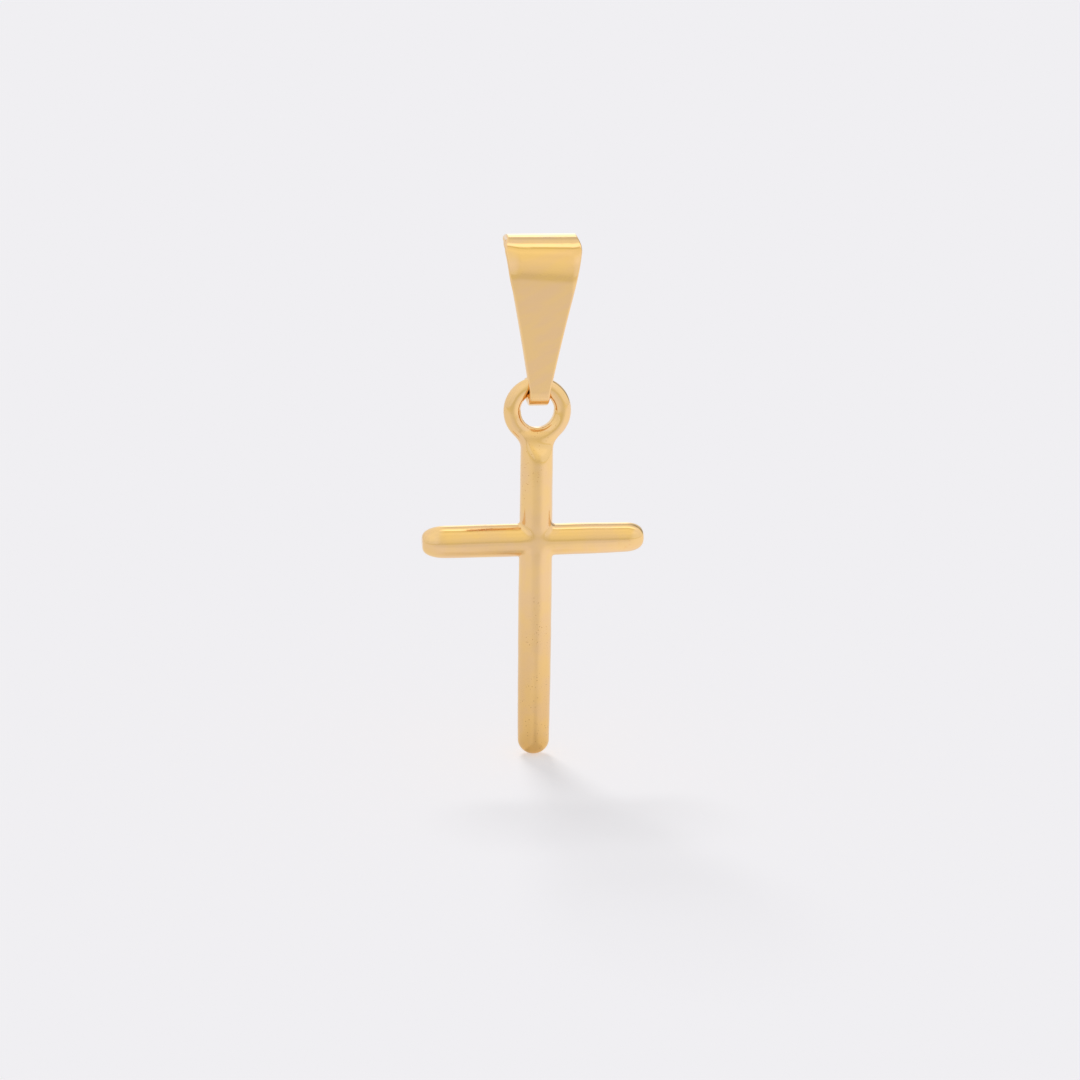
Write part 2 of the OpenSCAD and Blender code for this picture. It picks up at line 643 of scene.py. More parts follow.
    def _relief(self, on_face: Value, reach: Value, z: Value, bend: Value) -> Value:
        """How far the strap stands out: eased from fold to leaf, and rubbed down at the fold's sides.

        Args:
            on_face: the place across the face, from -1 to 1.
            reach: half the face's width.
            z: the middle surface's Z.
            bend: 1 on the fold, falling to 0 at the foot.

        Returns:
            The distance outwards.
        """
        given = self.group.given
        ease = z.span(given["Ease Start"], given["Ease End"], given["Ease Push"], 0.0, smooth=True) * bend
        below_top = z.span(given["Facet Full"], given["Facet Top"], 1.0, 0.0, smooth=True)
        above_end = z.span(given["Facet End"], given["Facet Full"], self.facet_least, 1.0)
        width = given["Facet Width"] * (on_face * -self.facet_left_gain + 1.0) * above_end
        inset = reach * (1.0 - self.group.math("ABSOLUTE", on_face))
        near = self.group.math("POWER", inset.span(0.0, width, 1.0, 0.0), self.facet_power)
        return ease - given["Facet Drop"] * (below_top * above_end) * near

    def _half_width(self, on_face: Value, y: Value, z: Value) -> Value:
        """Half the strap's width: tapered downwards, slanted in behind the crown, and even round the foot.

        Args:
            on_face: the place across the face, from -1 to 1.
            y: the middle surface's Y.
            z: its Z.

        Returns:
            The half width.
        """
        group, given = self.group, self.group.given
        share = z.span(given["Taper End"], given["Taper Start"], 0.0, 1.0)
        hollow = share * (1.0 - share) * 4.0 * given["Waist"]
        reach = share.span(0.0, 1.0, given["Foot Reach"], given["Fold Reach"]) - hollow
        reach = reach - self._left_inset(on_face, y, z)
        corner = given["Corner"] * (on_face * -self.corner_left_gain + 1.0)
        corner = z.span(given["Corner Start"], given["Thickness"] * 0.5, 0.0, corner, smooth=True)
        behind = group.math("SMOOTH_MAX", y, 0.0, given["Slant Blend"]) * given["Back Slant"]
        slanted = reach - group.math("SMOOTH_MAX", corner, behind, given["Edge Blend"])
        shoulder = given["Shoulder Height"]
        foot = z.span(shoulder, shoulder + given["Shoulder Blend"], given["Foot Reach"], 0.0, smooth=True)
        under = z.span(given["Foot Bottom"], given["Foot Side"], given["Foot Corner"], 0.0, smooth=True)
        return group.math("MAXIMUM", slanted, foot) - under

    def _left_inset(self, on_face: Value, y: Value, z: Value) -> Value:
        """How far the left side is bent in over the crown and behind it, or out at the front of the fold.

        Args:
            on_face: the place across the face, from -1 to 1.
            y: the middle surface's Y.
            z: its Z.

        Returns:
            The distance inwards.
        """
        given = self.group.given
        low = y.span(given["Left In Front"], 0.0, given["Left Out"], given["Left In"], smooth=True)
        inwards = z.span(given["Left Out At"], given["Left In From"], low, given["Left In"], smooth=True)
        on_fold = z.span(given["Left Out To"], given["Left Out At"], 0.0, 1.0, smooth=True)
        return inwards * ((on_face * -0.5 + 0.5) * on_fold)

    def build(self, finish: bpy.types.Material) -> bpy.types.Object:
        """Makes the strap as a plain mesh.

        Args:
            finish: its material.

        Returns:
            The finished object.
        """
        self._fill_tree()
        made = link_object("bail_strap", bpy.data.meshes.new("bail_strap"))
        bender = made.modifiers.new("Folded Strap", "NODES")
        bender.node_group = self.group.tree
        for name, given in {**self.sizes, "Finish": finish}.items():
            bender[self.group.identifiers[name]] = given
        ready = made.evaluated_get(bpy.context.evaluated_depsgraph_get())
        mesh = bpy.data.meshes.new_from_object(ready)
        made.modifiers.remove(bender)
        made.data = mesh
        turn_outwards(mesh)
        return made


def soft_min(first: np.ndarray, second: np.ndarray, blend: float) -> np.ndarray:
    """The lesser of two distances, with a fillet of about the blend where they meet."""
    near = np.maximum(blend - np.abs(first - second), 0.0)
    return np.minimum(first, second) - near * near / (4.0 * blend)


def soft_max(first: np.ndarray, second: np.ndarray, blend: float) -> np.ndarray:
    """The greater of two distances, with a softened ridge of about the blend where they meet."""
    return -soft_min(-first, -second, blend)


def ramp(value: np.ndarray, start: float, end: float) -> np.ndarray:
    """0 up to start and 1 from end on, also where end is the lesser, and even between."""
    return np.clip((value - start) / (end - start), 0.0, 1.0)


def eased(share: np.ndarray) -> np.ndarray:
    """A share from 0 to 1, eased in and out."""
    return share * share * (3.0 - 2.0 * share)


@dataclass(frozen=True)
class BarEnd:
    """The rounded ends of a bar: their reach across it and along it, in millimetres.

    A fullness of 2 rounds them as an ellipse, and more lets them begin softly and end fuller.
    """

    across: np.ndarray | float
    along: np.ndarray | float
    fullness: float = 2.0

    def bar(self, along: np.ndarray, off: np.ndarray, half: float, radius: np.ndarray) -> np.ndarray:
        """Distance to a round bar with these ends.

        Args:
            along: place along the bar's axis, from its middle.
            off: distance from the axis.
            half: half the bar's length.
            radius: the bar's radius at that place.

        Returns:
            Signed distances, negative inside.
        """
        end = (np.abs(along) - half + self.along) * self.across / self.along
        side = off - radius + self.across
        power = self.fullness
        outside = (np.maximum(end, 0.0) ** power + np.maximum(side, 0.0) ** power) ** (1.0 / power)
        return np.minimum(np.maximum(end, side), 0.0) + outside - self.across


class SkinMesh:
    """A closed, even mesh over the zero level of a distance function, in millimetres."""

    def __init__(self, distance: Field, low: np.ndarray, high: np.ndarray, cell: float) -> None:
        """Finds the cells that the surface crosses and joins their middles.

        Args:
            distance: takes an array of points, and gives signed distances.
            low: the lowest corner of the space to search.
            high: its highest corner.
            cell: the side of a cell.
        """
        self.distance = distance
        self.cell = cell
        counts = np.ceil((high - low) / cell).astype(int) + 1
        axes = [low[i] + cell * np.arange(counts[i]) for i in range(3)]
        inside = np.empty(counts, dtype=bool)
        plane = np.stack(np.meshgrid(axes[1], axes[2], indexing="ij"), axis=-1)
        for i, x in enumerate(axes[0]):
            points = np.concatenate([np.full((*plane.shape[:2], 1), x), plane], axis=-1)
            inside[i] = distance(points.reshape(-1, 3)).reshape(plane.shape[:2]) < 0.0
        full = np.zeros(counts - 1, dtype=int)
        for corner in np.ndindex(2, 2, 2):
            full += inside[tuple(slice(c, c + n) for c, n in zip(corner, counts - 1))]
        crossed = (full > 0) & (full < 8)
        number = np.full(crossed.shape, -1)
        number[crossed] = np.arange(crossed.sum())
        self.points = low + (np.argwhere(crossed) + 0.5) * cell
        self.quads = np.concatenate([self._faces(inside, number, axis) for axis in range(3)])

    def _faces(self, inside: np.ndarray, number: np.ndarray, axis: int) -> np.ndarray:
        """The faces round every crossed cell edge that runs along one axis.

        Args:
            inside: whether each corner lies inside.
            number: each cell's point, or -1.
            axis: the axis.

        Returns:
            Four point numbers to a face, turned outwards.
        """
        order = [axis, (axis + 1) % 3, (axis + 2) % 3]
        corner = inside.transpose(order)
        point = number.transpose(order)
        here, there = corner[:-1, 1:-1, 1:-1], corner[1:, 1:-1, 1:-1]
        ring = (point[:, :-1, :-1], point[:, 1:, :-1], point[:, 1:, 1:], point[:, :-1, 1:])
        around = np.stack(ring, axis=-1)
        leaving = around[here & ~there]
        entering = around[~here & there]
        return np.concatenate([leaving, entering[:, ::-1]])

    def slope(self) -> np.ndarray:
        """The distance function's gradient at the mesh's points.

        Returns:
            One vector for each point.
        """
        step = 0.02 * self.cell
        sides = []
        for axis in range(3):
            shift = np.zeros(3)
            shift[axis] = step
            rise = self.distance(self.points + shift) - self.distance(self.points - shift)
            sides.append(rise / (2.0 * step))
        return np.stack(sides, axis=-1)

    def around(self, values: np.ndarray) -> np.ndarray:
        """The mean of a vector over each point's neighbours.

        Args:
            values: one vector for each point.

        Returns:
            The means.
        """
        starts = self.quads.reshape(-1)
        ends = np.roll(self.quads, -1, axis=1).reshape(-1)
        count = np.bincount(starts, minlength=len(self.points))
        means = [np.bincount(starts, values[ends, i], len(count)) / count for i in range(3)]
        return np.stack(means, axis=-1)

    def settle(self, rounds: int, steps: int = 2, flattest: float = 0.25) -> None:
        """Evens the points out along the surface and brings them onto it.

        Args:
            rounds: how often both are done.
            steps: how many steps bring them onto it each time.
            flattest: the least squared gradient that a step is worked out with.
        """
        for _ in range(rounds):
            self.points += 0.5 * (self.around(self.points) - self.points)
            for _ in range(steps):
                slope = self.slope()
                length = np.maximum((slope * slope).sum(axis=1), flattest)
                self.points -= (self.distance(self.points) / length)[:, None] * slope

    def mesh(self, name: str, softness: Field, rounds: int) -> bpy.types.Mesh:
        """Makes the Blender mesh in metres, with the surface's own normals, blurred where it is buffed soft.

        Args:
            name: the mesh's name.
            softness: how soft the surface is at an array of points, 0 to 1.
            rounds: how often the normals are blurred there.

        Returns:
            The mesh.
        """
        share = 0.5 * softness(self.points)[:, None]
        normals = self.slope()
        for _ in range(rounds):
            normals /= np.linalg.norm(normals, axis=1, keepdims=True)
            normals += share * (self.around(normals) - normals)
        made = bpy.data.meshes.new(name)
        made.from_pydata((self.points * MM).tolist(), [], self.quads.tolist())
        made.shade_smooth()
        made.normals_split_custom_set_from_vertices(normals.tolist())
        return made


@dataclass(frozen=True)
class Ripple:
    """An even wave through space: its radians to the millimetre along X, Y and Z, and its phase."""

    run: tuple[float, float, float]
    phase: float

    def at(self, p: np.ndarray) -> np.ndarray:
        """Its height at an array of points, from -1 to 1."""
        return np.sin(p @ np.array(self.run) + self.phase)


@dataclass
class Cross:
    """Stem, arms and eye in one piece of metal, in millimetres but for the hinge's height in metres."""

    hinge_z: float
    bar_radius: float = 0.96
    eye_radius: float = 1.48
    stem_above: float = 7.62
    arms_length: float = 13.0

    stem_fullness: float = 0.980
    belly: float = 0.035
    belly_below_arms: float = 4.2
    belly_spread: float = 5.0
    tip_thinned: float = 0.025
    tip_thinned_over: float = 3.0
    tip_length: float = 0.85
    tip_worn: float = 0.02
    neck_length: float = 0.8
    neck_skew_deg: float = 14.0
    neck_raised: float = 0.05
    neck_ridge: float = 0.12
    neck_blend: float = 0.47

    arm_corner: float = 0.68
    arm_fullness: float = 2.4
    left_corner_length: float = 1.50
    right_corner_length: float = 1.15
    arms_shift: float = -0.16
    arms_tilt_deg: float = 0.35
    arms_thinned: float = 0.045
    arms_thinned_over: tuple[float, float] = (-0.1, 0.3)
    left_end_worn: float = 0.030
    right_end_worn: float = 0.082
    end_worn_from: float = 0.3
    left_roll: float = 0.024
    left_roll_deg: float = 76.0
    left_roll_spread_deg: float = 17.0
    left_roll_over: float = 0.25

    crossing_blend: float = 0.17
    crossing_flat: float = 0.965
    crossing_reach: float = 0.5
    crossing_slope: float = 0.15
    crossing_ridge: float = 0.10

    eye_worn: float = 0.020
    hole_radius: float = 0.985
    hole_depth: float = 0.26
    hole_fade: float = 0.5
    hole_blend: float = 0.05

    cast_wave: float = 0.008
    slow_ripples: tuple[Ripple, Ripple] = (
        Ripple((0.9, 0.0, 1.7), 0.4),
        Ripple((1.3, 2.0, -0.8), math.pi / 2),
    )
    quick_ripples: tuple[Ripple, Ripple] = (
        Ripple((3.1, 0.0, 2.3), 0.0),
        Ripple((-1.9, 0.0, 2.7), 1.0),
    )
    slow_share: float = 0.7
    wave_fade: float = 2.0
    soft_reach: float = 1.7
    soft_fade: float = 0.6
    soft_share: float = 0.6
    soft_facing: tuple[float, float] = (0.25, 0.875)
    neck_soft_reach: float = 1.0
    cell: float = 0.08
    margin: float = 0.3
    settle_rounds: int = 12
    buff_rounds: int = 24

    def __post_init__(self) -> None:
        """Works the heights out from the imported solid, in millimetres."""
        low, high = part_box("cross")
        self.hinge = self.hinge_z / MM
        self.wire = high.z / MM - self.hinge
        self.eye_z = self.hinge - self.eye_radius
        self.arms_z = self.eye_z - self.stem_above
        self.tip_z = low.z / MM + self.tip_worn
        self.neck_z = self.eye_z - self.eye_radius

    def stem(self, p: np.ndarray) -> np.ndarray:
        """Distance to the stem, which ends flat inside the eye's wire and has two flats at the neck.

        Args:
            p: an array of points.

        Returns:
            Signed distances, negative inside.
        """
        x, y, z = p.T
        off = np.hypot(x, y)
        middle = (self.neck_z + self.tip_z) / 2
        half = (self.neck_z - self.tip_z) / 2
        radius = self._stem_radius(z)
        tip = BarEnd(radius, self.tip_length).bar(z - middle, off, half, radius)
        stem = np.where(z > middle, np.maximum(off - radius, z - self.neck_z), tip)
        tilt = math.atan2(self.bar_radius - self.wire, self.neck_length)
        low = self.neck_z - self.wire - self.neck_length
        skew = math.radians(self.neck_skew_deg)
        out = x * math.sin(skew) - y * math.cos(skew)
        for side in (out, -out):
            flat = (side - self.bar_radius - self.neck_raised) * math.cos(tilt) + (z - low) * math.sin(tilt)
            stem = soft_max(stem, flat, self.neck_ridge)
        return stem

    def _stem_radius(self, z: np.ndarray) -> np.ndarray:
        """The stem's radius, fullest below the arms and thinned towards the tip.

        Args:
            z: an array of heights.

        Returns:
            The radii.
        """
        belly = np.exp(-(((z - self.arms_z + self.belly_below_arms) / self.belly_spread) ** 2))
        near_tip = ramp(z, self.tip_z + self.tip_thinned_over, self.tip_z)
        return self.bar_radius * (self.stem_fullness + self.belly * belly - self.tip_thinned * near_tip)

    def arms(self, p: np.ndarray) -> np.ndarray:
        """Distance to the arms: leaning up and thinned to the right, and rolled fuller at the upper left.

        Args:
            p: an array of points.

        Returns:
            Signed distances, negative inside.
        """
        x, y, z = p.T
        tilt = math.radians(self.arms_tilt_deg)
        half = self.arms_length / 2
        along = x * math.cos(tilt) + (z - self.arms_z) * math.sin(tilt) - self.arms_shift
        across = (z - self.arms_z) * math.cos(tilt) - x * math.sin(tilt)
        share = np.clip(along / half, -1.0, 1.0)
        thinned = self.arms_thinned * eased(ramp(share, *self.arms_thinned_over))
        end_loss = ramp(np.abs(share), self.end_worn_from, 1.0) ** 2
        end_loss = end_loss * np.where(share > 0.0, self.right_end_worn, self.left_end_worn)
        turn = (np.degrees(np.arctan2(across, -y)) - self.left_roll_deg) / self.left_roll_spread_deg
        rolled = self.left_roll * eased(ramp(-share, 0.0, self.left_roll_over)) * np.exp(-(turn ** 2))
        radius = self.bar_radius * (1.0 - thinned - end_loss + rolled)
        length = np.where(along > 0.0, self.right_corner_length, self.left_corner_length)
        end = BarEnd(self.arm_corner, length, self.arm_fullness)
        return end.bar(along, np.hypot(y, across), half, radius)

    def eye(self, p: np.ndarray) -> np.ndarray:
        """Distance to the ring that the bail's foot goes through, its hole bored flat in the lower half.

        Args:
            p: an array of points.

        Returns:
            Signed distances, negative inside.
        """
        x, y, z = p.T
        out = np.hypot(x, z - self.eye_z)
        ring = np.hypot(out - self.eye_radius, y) - self.wire + self.eye_worn
        bored = np.maximum(self.hole_radius - out, out - self.eye_radius)
        bored = np.maximum(bored, np.abs(y) - self.hole_depth)
        bored = bored + self.hole_fade * np.maximum(z - self.eye_z, 0.0)
        return soft_min(ring, bored, self.hole_blend)

    def waves(self, p: np.ndarray) -> np.ndarray:
        """Slight unevenness of the casting: slow ripples and quick ones, each pair crossing.

        Args:
            p: an array of points.

        Returns:
            What it adds to the distance.
        """
        pairs = (self.slow_ripples, self.quick_ripples)
        slow, quick = (first.at(p) * second.at(p) for first, second in pairs)
        return self.cast_wave * (self.slow_share * slow + (1.0 - self.slow_share) * quick)

    def distance(self, p: np.ndarray) -> np.ndarray:
        """Distance to the whole piece: bars melted together and polished flat where they cross, and the eye.

        Args:
            p: an array of points.

        Returns:
            Signed distances, negative inside.
        """
        bars = soft_min(self.stem(p), self.arms(p), self.crossing_blend)
        beyond = np.maximum(np.hypot(p[:, 0], p[:, 2] - self.arms_z) - self.crossing_reach, 0.0)
        flat = np.abs(p[:, 1]) - self.crossing_flat - self.crossing_slope * beyond
        bars = soft_max(bars, flat, self.crossing_ridge)
        whole = soft_min(bars, self.eye(p), self.neck_blend)
        return whole + self.waves(p) * ramp(p[:, 2], self.neck_z, self.neck_z - self.wave_fade)

    def softness(self, p: np.ndarray) -> np.ndarray:
        """Where buffing has softened the shine: in front of and behind the crossing and the neck.

        Args:
            p: an array of points.

        Returns:
            The softness, 0 to 1.
        """
        off_crossing = np.hypot(p[:, 0], p[:, 2] - self.arms_z)
        crossing = ramp(off_crossing, self.soft_reach, self.soft_reach - self.soft_fade)
        off_neck = np.abs(p[:, 2] - self.neck_z + self.wire + self.neck_length / 2)
        neck = ramp(off_neck, self.neck_soft_reach, self.neck_soft_reach - self.soft_fade)
        facing = ramp(np.abs(p[:, 1]) / self.bar_radius, *self.soft_facing)
        return facing * np.maximum(self.soft_share * crossing, neck)

    def build(self, finish: bpy.types.Material) -> bpy.types.Object:
        """Makes the cross as one closed mesh.

        Args:
            finish: its material.

        Returns:
            The finished object.
        """
        side = self.arms_length / 2 + self.margin
        depth = self.bar_radius + self.margin
        low = np.array([-side, -depth, self.tip_z - self.margin])
        high = np.array([side, depth, self.hinge + self.wire + self.margin])
        skin = SkinMesh(self.distance, low, high, self.cell)
        skin.settle(self.settle_rounds)
        made = link_object("cross_body", skin.mesh("cross_body", self.softness, self.buff_rounds))
        made.data.materials.append(finish)
        return made


@dataclass(frozen=True)
class View:
    """Where the photograph was taken from, as a turn about the plumb line and a height."""

    azimuth_deg: float = -9.0
    elevation_deg: float = 12.5
    roll_deg: float = 0.7

    @property
    def right(self) -> Vector:
        """Level direction to the right of the picture."""
        turn = math.radians(self.azimuth_deg)
        return Vector((math.cos(turn), math.sin(turn), 0.0))

    @property
    def away(self) -> Vector:
        """Level direction away from the camera."""
        return UP.cross(self.right)

    def towards(self, azimuth_deg: float, height_deg: float) -> Vector:
        """A direction in the room: azimuth 0 is the camera's side and 90 its right.

        Args:
            azimuth_deg: the turn about the plumb line.
            height_deg: the height above level.

        Returns:
            The direction, of length 1.
        """
        turn, rise = math.radians(azimuth_deg), math.radians(height_deg)
        level = self.right * math.sin(turn) - self.away * math.cos(turn)
        return level * math.cos(rise) + UP * math.sin(rise)


@dataclass(frozen=True)
class SkyStop:
    """The studio at an angle over the top: 0 in front, 90 overhead, 180 behind; warm runs from 0 to 1."""

    angle: float
    level: float
    warm: float

    @property
    def colour(self) -> Colour:
        """The light's colour at full level."""
        return tuple(1.0 - loss * self.warm for loss in WARM_LOSS)


@dataclass(frozen=True)
class DarkCorner:
    """A round dimmer place in the room: azimuth 0 is the camera's side and 90 its right."""

    azimuth_deg: float
    height_deg: float
    spread_deg: float
    level: float

    def share(self, graph: Graph, place: Value, view: View) -> Value:
        """The share of light that is left in a direction.

        Args:
            graph: the room's graph.
            place: the direction that is looked up.
            view: the camera's view, which the room faces.

        Returns:
            The share.
        """
        edge = math.cos(math.radians(self.spread_deg))
        core = math.cos(math.radians(0.5 * self.spread_deg))
        near = graph.dot(place, view.towards(self.azimuth_deg, self.height_deg))
        return near.span(edge, core, 1.0, self.level, smooth=True)


@dataclass
class Studio:
    """Pale floor and soft light, both facing the camera. Distances are in metres.

    The floor's own light is even where it is seen. Where metal mirrors it, its tone turns from near to far
    in front and is darkened and warmed round the foot of the cross as a painted contact shadow, and its
    level is raised at the right, and in a sector in front raised close by and lowered beyond.
    """

    view: View
    floor_z: float
    floor_radius: float = 4.0
    floor_sides: int = 96
    floor_tone: Colour = (0.871, 0.863, 0.888)
    floor_albedo: float = 0.8
    room_level: float = 0.33
    sun_strength: float = 1.02
    sun_height_deg: float = 44.5
    sun_side_deg: float = 14.0
    sun_spread_deg: float = 19.0

    far_tone: Colour = (0.776, 0.746, 0.580)
    far: tuple[float, float] = (0.040, 0.160)
    around_level: float = 1.04
    right_gain: float = 0.14
    right_from: float = 0.2
    front_dip: float = 0.08
    front_dip_from: float = 0.75
    front_turn_deg: float = 7.0
    near: tuple[float, float] = (0.016, 0.032)
    near_share: float = -0.8
    # Painted contact shadow: darker, warmer floor light round the foot of the cross, seen only in
    # reflections
    contact_shadow_tone: Colour = (0.89, 0.86, 0.76)
    contact_ahead: float = 2.4 * MM
    contact: tuple[float, float] = (1.6 * MM, 8.0 * MM)

    front_right: float = 0.27
    front_half: float = 0.17
    front_fade: float = 0.26
    side_reach: float = 0.9
    left_level: float = 0.98
    right_level: float = 1.03
    horizon_level: float = 0.88
    horizon_top: float = 0.6
    cloth_scale: float = 3.2
    cloth: tuple[float, float] = (0.3, 0.7)
    cloth_swing: float = 0.04
    dark_corner: DarkCorner = DarkCorner(azimuth_deg=150.0, height_deg=20.0, spread_deg=32.0, level=0.34)
    brightest: float = 2.5
    sky: tuple[SkyStop, ...] = (
        SkyStop(-30.0, 0.78, 0.40),
        SkyStop(2.0, 0.78, 0.40),
        SkyStop(22.0, 0.91, 0.35),
        SkyStop(46.0, 0.99, 0.45),
        SkyStop(70.0, 1.04, 0.45),
        SkyStop(81.0, 0.99, 0.52),
        SkyStop(84.0, 0.80, 0.70),
        SkyStop(88.0, 0.80, 0.70),
        SkyStop(91.0, 1.48, 0.15),
        SkyStop(101.0, 1.48, 0.15),
        SkyStop(106.0, 0.96, 0.05),
        SkyStop(118.0, 0.93, 0.00),
        SkyStop(128.0, 0.70, 0.00),
        SkyStop(137.0, 0.62, 0.00),
        SkyStop(142.0, 1.90, 0.00),
        SkyStop(165.0, 2.30, 0.00),
        SkyStop(180.0, 1.10, 0.00),
    )

    @property
    def lit_share(self) -> float:
        """Share of the floor's tone that the room and the sun give it."""
        sun = self.sun_strength * math.sin(math.radians(self.sun_height_deg)) / math.pi
        return self.floor_albedo * (self.room_level + sun)

    def floor(self) -> bpy.types.Object:
        """Lays a wide pale disc just under the tip of the stem.

        Returns:
            The disc.
        """
        mesh = bpy.data.meshes.new("floor")
        work = bmesh.new()
        place = Matrix.Translation((0.0, 0.0, self.floor_z))
        sides, radius = self.floor_sides, self.floor_radius
        bmesh.ops.create_circle(work, cap_ends=True, segments=sides, radius=radius, matrix=place)
        work.to_mesh(mesh)
        work.free()
        made = link_object("floor", mesh)
        mesh.materials.append(self._paper())
        return made

    def _paper(self) -> bpy.types.Material:
        """Pale paper, partly self-lit so that its tone is even, and clear when seen from below.

        Returns:
            The material.
        """
        made = bpy.data.materials.new("pale_paper")
        graph = empty_graph(made)
        paper = graph.value("ShaderNodeBsdfDiffuse", {"Color": opaque(self.floor_tone, self.floor_albedo)})
        glow = graph.value("ShaderNodeEmission", {"Color": self._floor_glow(graph)})
        lit = graph.value("ShaderNodeAddShader", (paper, glow))
        below = graph.value("ShaderNodeNewGeometry", output="Backfacing")
        both = graph.value("ShaderNodeMixShader", (below, lit, graph.value("ShaderNodeBsdfTransparent")))
        graph.node("ShaderNodeOutputMaterial", {"Surface": both})
        return made

    def _floor_glow(self, graph: Graph) -> Value:
        """The floor's own light: even where it is seen, and uneven where polished metal mirrors it.

        Args:
            graph: the floor material's graph.

        Returns:
            The colour of the light.
        """
        place = graph.value("ShaderNodeTexCoord", output="Object")
        right, front = graph.dot(place, self.view.right), graph.dot(place, self.view.away) * -1.0
        azimuth = graph.math("ARCTAN2", right, front)
        beside = graph.math("SINE", azimuth).span(self.right_from, 1.0, 0.0, self.right_gain, smooth=True)
        off_front = azimuth - math.radians(self.front_turn_deg)
        ahead = graph.math("COSINE", off_front)
        dip = ahead.span(self.front_dip_from, 1.0, 0.0, self.front_dip, smooth=True)
        dip = dip * front.span(*self.near, self.near_share, 1.0)
        level = beside + self.around_level - dip

        far = front.span(*self.far, 0.0, 1.0, smooth=True)
        tone = graph.mix(far, opaque(self.floor_tone), opaque(self.far_tone))
        # Painted contact shadow round the foot of the cross, mirrored in the metal
        before = front - self.contact_ahead
        off_foot = graph.math("SQRT", right * right + before * before)
        close = off_foot.span(*self.contact, 1.0, 0.0, smooth=True)
        tone = graph.mix(close, tone, opaque(self.contact_shadow_tone), "MULTIPLY")
        lit = tuple(-self.lit_share * part for part in self.floor_tone)
        mirrored = graph.value("ShaderNodeVectorMath", (tone, level, lit), operation="MULTIPLY_ADD")
        glossy = graph.value("ShaderNodeLightPath", output="Is Glossy Ray")
        return graph.mix(glossy, opaque(self.floor_tone, 1.0 - self.lit_share), mirrored)

    def room(self) -> None:
        """Sets the room: even light on what is dull, softboxes and gaps mirrored in what shines."""
        world = bpy.data.worlds.new("studio")
        bpy.context.scene.world = world
        graph = empty_graph(world)
        path = graph.node("ShaderNodeLightPath").outputs
        colour, strength = self._mirrored_room(graph)
        mirrored = graph.value("ShaderNodeBackground", {"Color": colour, "Strength": strength})
        white = opaque((1.0, 1.0, 1.0))
        even = graph.value("ShaderNodeBackground", {"Color": white, "Strength": self.room_level})
        seen = graph.value("ShaderNodeBackground", {"Color": opaque(self.floor_tone)})
        shiny = graph.value("ShaderNodeMixShader", (path["Is Glossy Ray"], even, mirrored))
        every = graph.value("ShaderNodeMixShader", (path["Is Camera Ray"], shiny, seen))
        graph.node("ShaderNodeOutputWorld", {"Surface": every})

    def _mirrored_room(self, graph: Graph) -> tuple[Value, Value]:
        """The room as polished metal mirrors it: the sky's stops in front, and plainer light at the sides.

        Args:
            graph: the room's graph.

        Returns:
            Its colour and its strength.
        """
        place = graph.value("ShaderNodeTexCoord", output="Generated")
        right, front = graph.dot(place, self.view.right), graph.dot(place, self.view.away) * -1.0
        up = graph.split(place)[2]
        over = graph.math("DEGREES", graph.math("ARCTAN2", up, front))
        first, last = self.sky[0].angle, self.sky[-1].angle
        sky = graph.node("ShaderNodeValToRGB", [over.span(first, last, 0.0, 1.0)])
        # A new ramp has two stops of its own, which the first two of the sky take over
        stops = sky.color_ramp.elements
        for number, stop in enumerate(self.sky):
            position = (stop.angle - first) / (last - first)
            element = stops[number] if number < 2 else stops.new(position)
            element.position = position
            element.color = opaque(stop.colour, stop.level / self.brightest)

        beside = graph.math("ABSOLUTE", right - self.front_right)
        beside = beside.span(self.front_half, self.front_half + self.front_fade, 0.0, 1.0, smooth=True)
        ends = (self.left_level / self.brightest, self.right_level / self.brightest)
        level = right.span(-self.side_reach, self.side_reach, *ends)
        level = level * up.span(0.0, self.horizon_top, self.horizon_level, 1.0)
        colour = graph.mix(beside, sky.outputs["Color"], level)

        folds = graph.noise(place, self.cloth_scale, 1.0)
        folds = folds.span(*self.cloth, 1.0 - self.cloth_swing, 1.0 + self.cloth_swing)
        return colour, folds * self.dark_corner.share(graph, place, self.view) * self.brightest

    def sun(self) -> bpy.types.Object:
        """Adds the broad key light from behind, above and to the left.

        Returns:
            The lamp.
        """
        lamp = bpy.data.lights.new("key", "SUN")
        lamp.energy = self.sun_strength
        lamp.angle = math.radians(self.sun_spread_deg)
        made = bpy.data.objects.new("key", lamp)
        towards = self.view.towards(180.0 + self.sun_side_deg, self.sun_height_deg)
        made.rotation_euler = towards.to_track_quat("Z", "Y").to_euler()
        made.visible_glossy = False
        bpy.context.scene.collection.objects.link(made)
        return made


@dataclass
class PhotoCamera:
    """The camera that took the photograph, as read from its slopes and sizes."""

    view: View
    crossing: Vector
    crossing_px: tuple[float, float] = (535.7, 539.5)
    frame_px: int = 1080
    px_per_mm: float = 17.2
    distance: float = 0.200
    sensor: float = 36.0
    clip: tuple[float, float] = (0.01, 20.0)

    def build(self) -> bpy.types.Object:
        """Makes it the scene's camera.

        Returns:
            The camera.
        """
        pixel = MM / self.px_per_mm
        data = bpy.data.cameras.new("camera")
        data.sensor_width = self.sensor
        data.lens = self.sensor * self.distance / (self.frame_px * pixel)
        data.clip_start, data.clip_end = self.clip
        made = bpy.data.objects.new("camera", data)
        back = self.view.towards(0.0, self.view.elevation_deg)
        look = (-back).to_track_quat("-Z", "Y").to_matrix().to_4x4()
        look = look @ Matrix.Rotation(math.radians(self.view.roll_deg), 4, "Z")
        right, up = look.col[0].to_3d(), look.col[1].to_3d()
        off_right = (self.frame_px / 2 - self.crossing_px[0]) * pixel
        off_up = (self.crossing_px[1] - self.frame_px / 2) * pixel
        aim = self.crossing + right * off_right + up * off_up
        made.matrix_world = Matrix.Translation(aim + back * self.distance) @ look
        bpy.context.scene.collection.objects.link(made)
        bpy.context.scene.camera = made
        return made
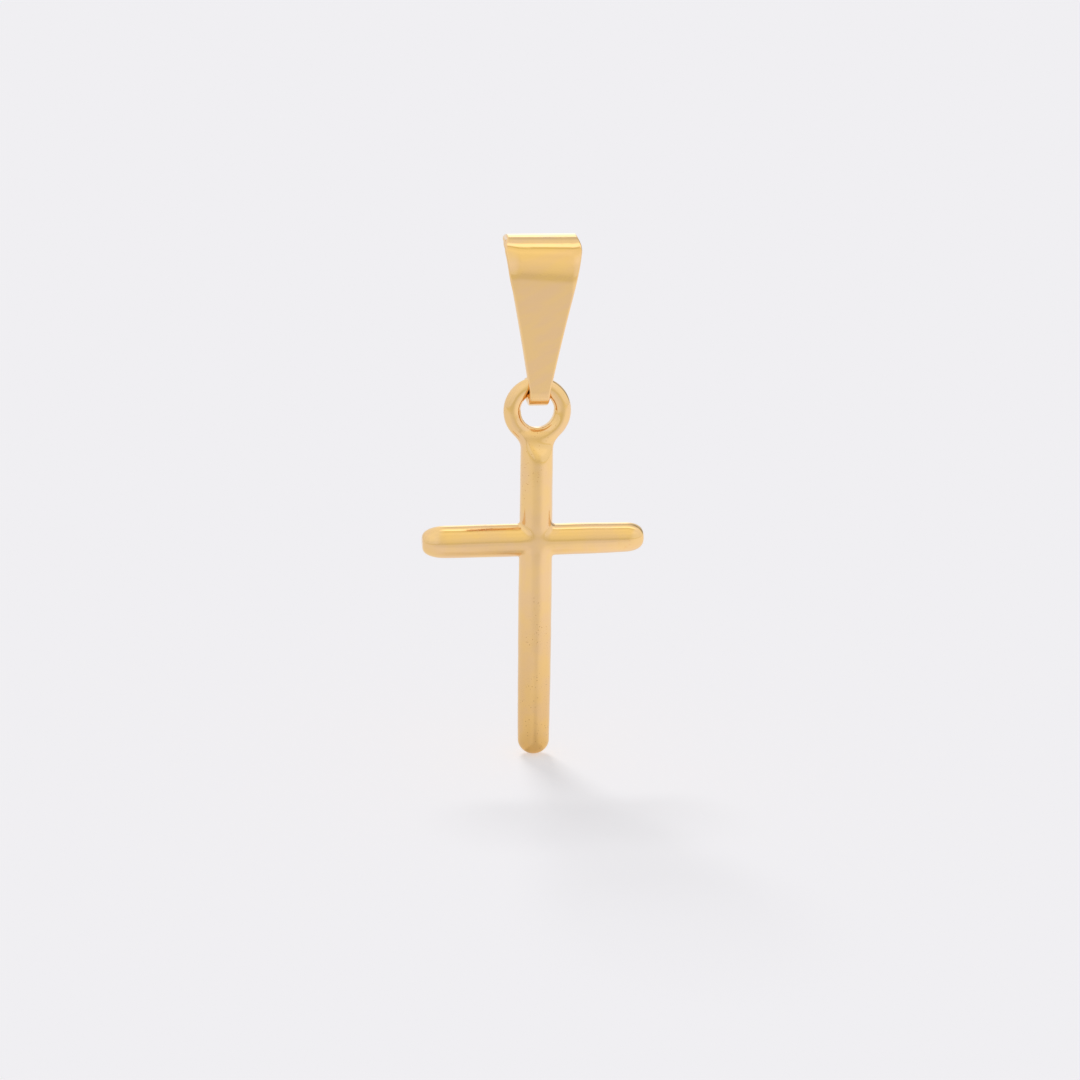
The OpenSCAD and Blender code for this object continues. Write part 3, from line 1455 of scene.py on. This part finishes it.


# The bail is not darkened low down: the heights at which the tint would begin and be full lie below it
BAIL_GOLD = GoldFinish(
    name="bail_gold",
    polish=Polish.BRUSHED,
    fresh=(0.893, 0.605, 0.272),
    rubbed=(0.867, 0.585, 0.303),
    tone_scale=1300.0,
    tone_stretch=2.6,
    tone_slant=-0.45,
    tint_top=-30.0 * MM,
    tint_low=-31.0 * MM,
    rough_low=0.045,
    rough_high=0.11,
    wave_scale=420.0,
    wave_height=0.010 * MM,
    speck_scale=5200.0,
    speck_size=0.16,
    speck_share=0.36,
    speck_depth=0.004 * MM,
    line_scale=9000.0,
    line_stretch=9.0,
    line_slant=0.18,
    line_height=0.004 * MM,
)

CROSS_GOLD = GoldFinish(
    name="cross_gold",
    polish=Polish.TUMBLED,
    fresh=(0.885, 0.597, 0.262),
    rubbed=(0.860, 0.583, 0.303),
    tone_scale=800.0,
    tone_stretch=1.0,
    tone_slant=0.0,
    # The stem turns darker and browner towards its tip, from tint_top down to tint_low
    tint_top=-20.0 * MM,
    tint_low=-28.5 * MM,
    rough_low=0.065,
    rough_high=0.15,
    wave_scale=620.0,
    wave_height=0.014 * MM,
    speck_scale=5600.0,
    speck_size=0.21,
    speck_share=0.46,
    speck_depth=0.006 * MM,
    line_scale=7000.0,
    line_stretch=3.0,
    line_slant=0.6,
    line_height=0.002 * MM,
)


def report(piece: bpy.types.Object, node: str) -> None:
    """Logs a piece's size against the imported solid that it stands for.

    Args:
        piece: the piece.
        node: the solid's name.
    """
    low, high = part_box(node)
    corners = np.array([v.co[:] for v in piece.data.vertices])
    under = (corners.min(axis=0) - np.array(low)) / MM
    over = (corners.max(axis=0) - np.array(high)) / MM
    log.info("%s: %d faces, low %s mm and high %s mm off %s", piece.name, len(piece.data.polygons),
             np.round(under, 3).tolist(), np.round(over, 3).tolist(), node)


def main() -> None:
    """Builds both pieces, the studio and the camera."""
    logging.basicConfig(level=logging.INFO, format="%(name)s: %(message)s")
    bpy.context.scene.view_settings.view_transform = "Standard"
    hinge_z = frame["joints"][0]["pos_m"][2]
    effects = SharedEffects()

    strap = Bail(hinge_z).build(BAIL_GOLD.build(effects))
    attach(strap, "bail")
    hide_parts("bail")
    report(strap, "bail")

    cross = Cross(hinge_z)
    body = cross.build(CROSS_GOLD.build(effects))
    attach(body, "cross")
    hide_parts("cross")
    report(body, "cross")

    view = View()
    studio = Studio(view, floor_z=cad_box[0].z - FLOOR_GAP)
    studio.floor()
    studio.room()
    studio.sun()
    PhotoCamera(view, crossing=UP * (cross.arms_z * MM)).build()


if __name__ == "__main__":
    main()
